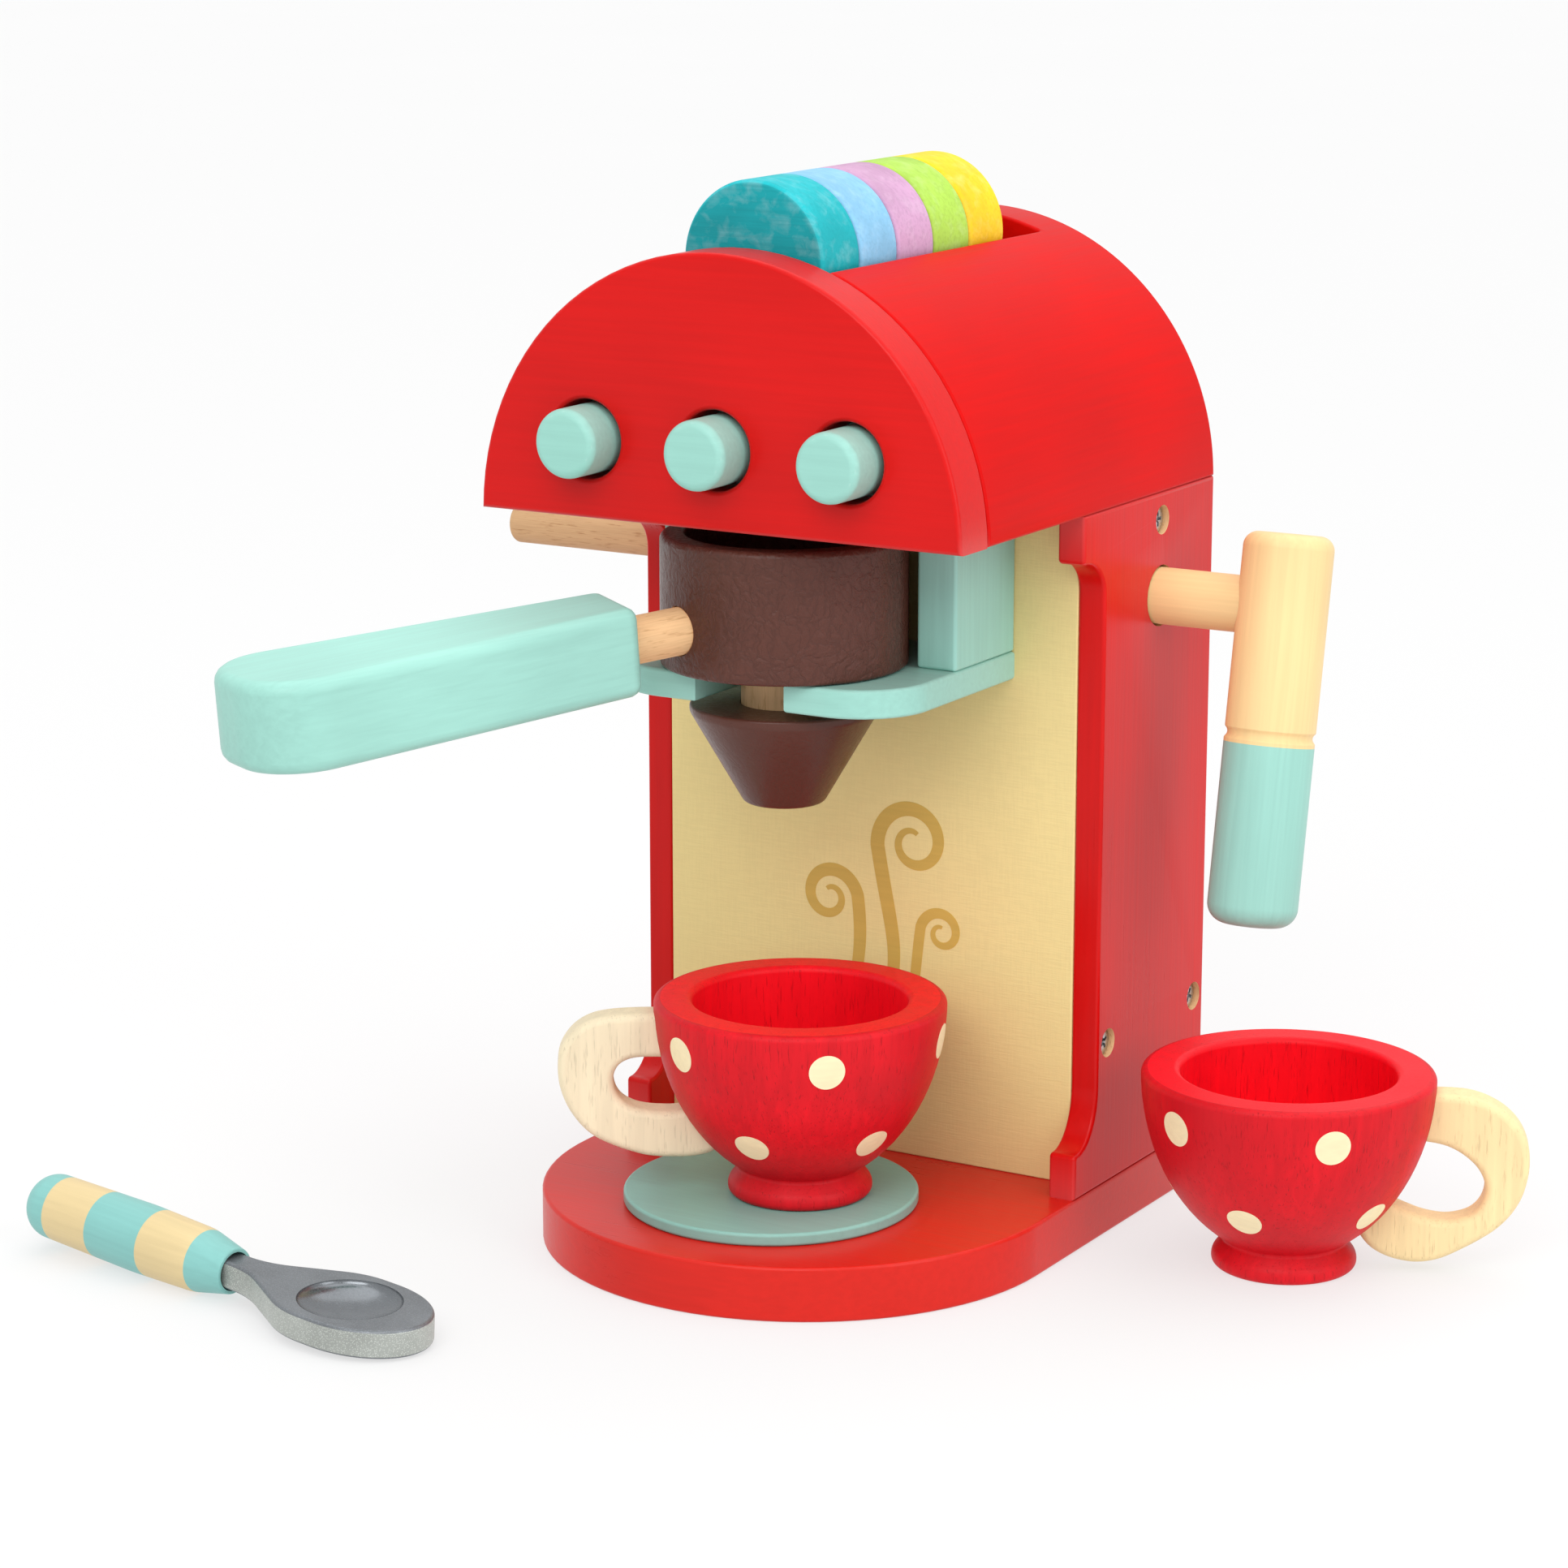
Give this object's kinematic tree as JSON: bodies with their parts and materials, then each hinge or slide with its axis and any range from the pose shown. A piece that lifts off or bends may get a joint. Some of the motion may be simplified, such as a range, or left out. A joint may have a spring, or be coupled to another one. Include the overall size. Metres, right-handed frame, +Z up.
{
  "type": "toy coffee maker",
  "caption": "Painted wooden toy coffee maker with push buttons, side lever, pull-out filter, coloured discs in a top tray, spotted cups and a striped spoon.",
  "frame": {"origin": "centre of the base board's underside, which stands on the floor", "axes": "+X to the right as seen from the front, +Y to the back, +Z up; the buttons and the filter face -Y"},
  "size_m": [0.3594, 0.2591, 0.2916],
  "materials": {
    "red_paint": "gloss paint",
    "mint_paint": "satin paint",
    "cream_paint": "satin paint",
    "cream_board": "matte paint with a printed ornament",
    "brown_paint": "semi-gloss crinkled paint",
    "bare_wood": "sanded",
    "zinc": "zinc plated",
    "spring_steel": "drawn wire",
    "red_stain": "matte stain with printed spots",
    "cream_stain": "matte stain",
    "teal_stain": "stain",
    "sky_stain": "stain",
    "lilac_stain": "stain",
    "green_stain": "stain",
    "yellow_stain": "stain",
    "spoon_stripes": "satin paint in stripes",
    "lever_paint": "satin paint in two colours",
    "silver_paint": "metallic paint"
  },
  "bodies": {
    "machine": {"base_board": "red_paint", "plate": "mint_paint", "left_side_panel": "red_paint", "right_side_panel": "red_paint", "front_board": "cream_board", "back_board": "red_paint", "top_board": "bare_wood", "right_screw_1": "zinc", "right_screw_2": "zinc", "right_screw_3": "zinc", "left_screw_1": "zinc", "left_screw_2": "zinc", "left_screw_3": "zinc", "base_screw_1": "zinc", "base_screw_2": "zinc", "base_screw_3": "zinc", "base_screw_4": "zinc", "hood_front_panel": "red_paint", "hood_shell": "red_paint", "hood_back_panel": "red_paint", "hood_floor": "red_paint", "tray_floor": "bare_wood", "tray_left_wall": "red_paint", "tray_right_wall": "red_paint", "tray_stop": "red_paint", "button_guide": "bare_wood", "left_button_spring": "spring_steel", "middle_button_spring": "spring_steel", "right_button_spring": "spring_steel", "fork": "mint_paint", "left_spacer_block": "mint_paint", "right_spacer_block": "mint_paint", "side_peg": "bare_wood"},
    "button_left": {"left_button": "mint_paint"},
    "button_middle": {"middle_button": "mint_paint"},
    "button_right": {"right_button": "mint_paint"},
    "lever": {"lever_axle": "cream_paint", "lever_collar": "bare_wood", "lever_handle": "lever_paint"},
    "filter_carriage": {"filter_neck": "bare_wood"},
    "filter": {"filter_cup": "brown_paint", "filter_cone": "brown_paint", "handle_dowel": "bare_wood", "handle_grip": "mint_paint"},
    "disc_teal": {"teal_disc": "teal_stain"},
    "disc_sky": {"sky_disc": "sky_stain"},
    "disc_lilac": {"lilac_disc": "lilac_stain"},
    "disc_green": {"green_disc": "green_stain"},
    "disc_yellow": {"yellow_disc": "yellow_stain"},
    "cup_1": {"cup_1_body": "red_stain", "cup_1_handle": "cream_stain"},
    "cup_2": {"cup_2_body": "red_stain", "cup_2_handle": "cream_stain"},
    "spoon": {"spoon_handle": "spoon_stripes", "spoon_blade": "silver_paint"}
  },
  "joints": [
    {"name": "left_button_press", "type": "slide", "parent": "machine", "child": "button_left", "axis": [0, 1, 0], "range_m": [0, 0.006], "stiffness_N_per_m": 250, "deforming": ["left_button_spring"]},
    {"name": "middle_button_press", "type": "slide", "parent": "machine", "child": "button_middle", "axis": [0, 1, 0], "range_m": [0, 0.006], "stiffness_N_per_m": 250, "deforming": ["middle_button_spring"]},
    {"name": "right_button_press", "type": "slide", "parent": "machine", "child": "button_right", "axis": [0, 1, 0], "range_m": [0, 0.006], "stiffness_N_per_m": 250, "deforming": ["right_button_spring"]},
    {"name": "lever_turn", "type": "hinge", "parent": "machine", "child": "lever", "pos_m": [0, 0.0537, 0.1743], "axis": [1, 0, 0], "continuous": true},
    {"name": "filter_pull", "type": "slide", "parent": "machine", "child": "filter_carriage", "axis": [0, -1, 0], "range_m": [0, 0.06]},
    {"name": "filter_turn", "type": "hinge", "parent": "filter_carriage", "child": "filter", "pos_m": [0, -0.025, 0.162], "axis": [0, 0, 1], "range_deg": [-59, 90]},
    {"name": "teal_disc_lift", "type": "slide", "parent": "machine", "child": "disc_teal", "axis": [0, 0, 1], "range_m": [0, 0.045]},
    {"name": "sky_disc_lift", "type": "slide", "parent": "machine", "child": "disc_sky", "axis": [0, 0, 1], "range_m": [0, 0.045]},
    {"name": "lilac_disc_lift", "type": "slide", "parent": "machine", "child": "disc_lilac", "axis": [0, 0, 1], "range_m": [0, 0.045]},
    {"name": "green_disc_lift", "type": "slide", "parent": "machine", "child": "disc_green", "axis": [0, 0, 1], "range_m": [0, 0.045]},
    {"name": "yellow_disc_lift", "type": "slide", "parent": "machine", "child": "disc_yellow", "axis": [0, 0, 1], "range_m": [0, 0.045]},
    {"name": "cup_1_lift", "type": "slide", "parent": "machine", "child": "cup_1", "axis": [0, 0, 1], "range_m": [0, 0.04]},
    {"name": "cup_2_lift", "type": "slide", "parent": "machine", "child": "cup_2", "axis": [0, 0, 1], "range_m": [0, 0.03]},
    {"name": "spoon_lift", "type": "slide", "parent": "machine", "child": "spoon", "axis": [0, 0, 1], "range_m": [0, 0.08]}
  ]
}
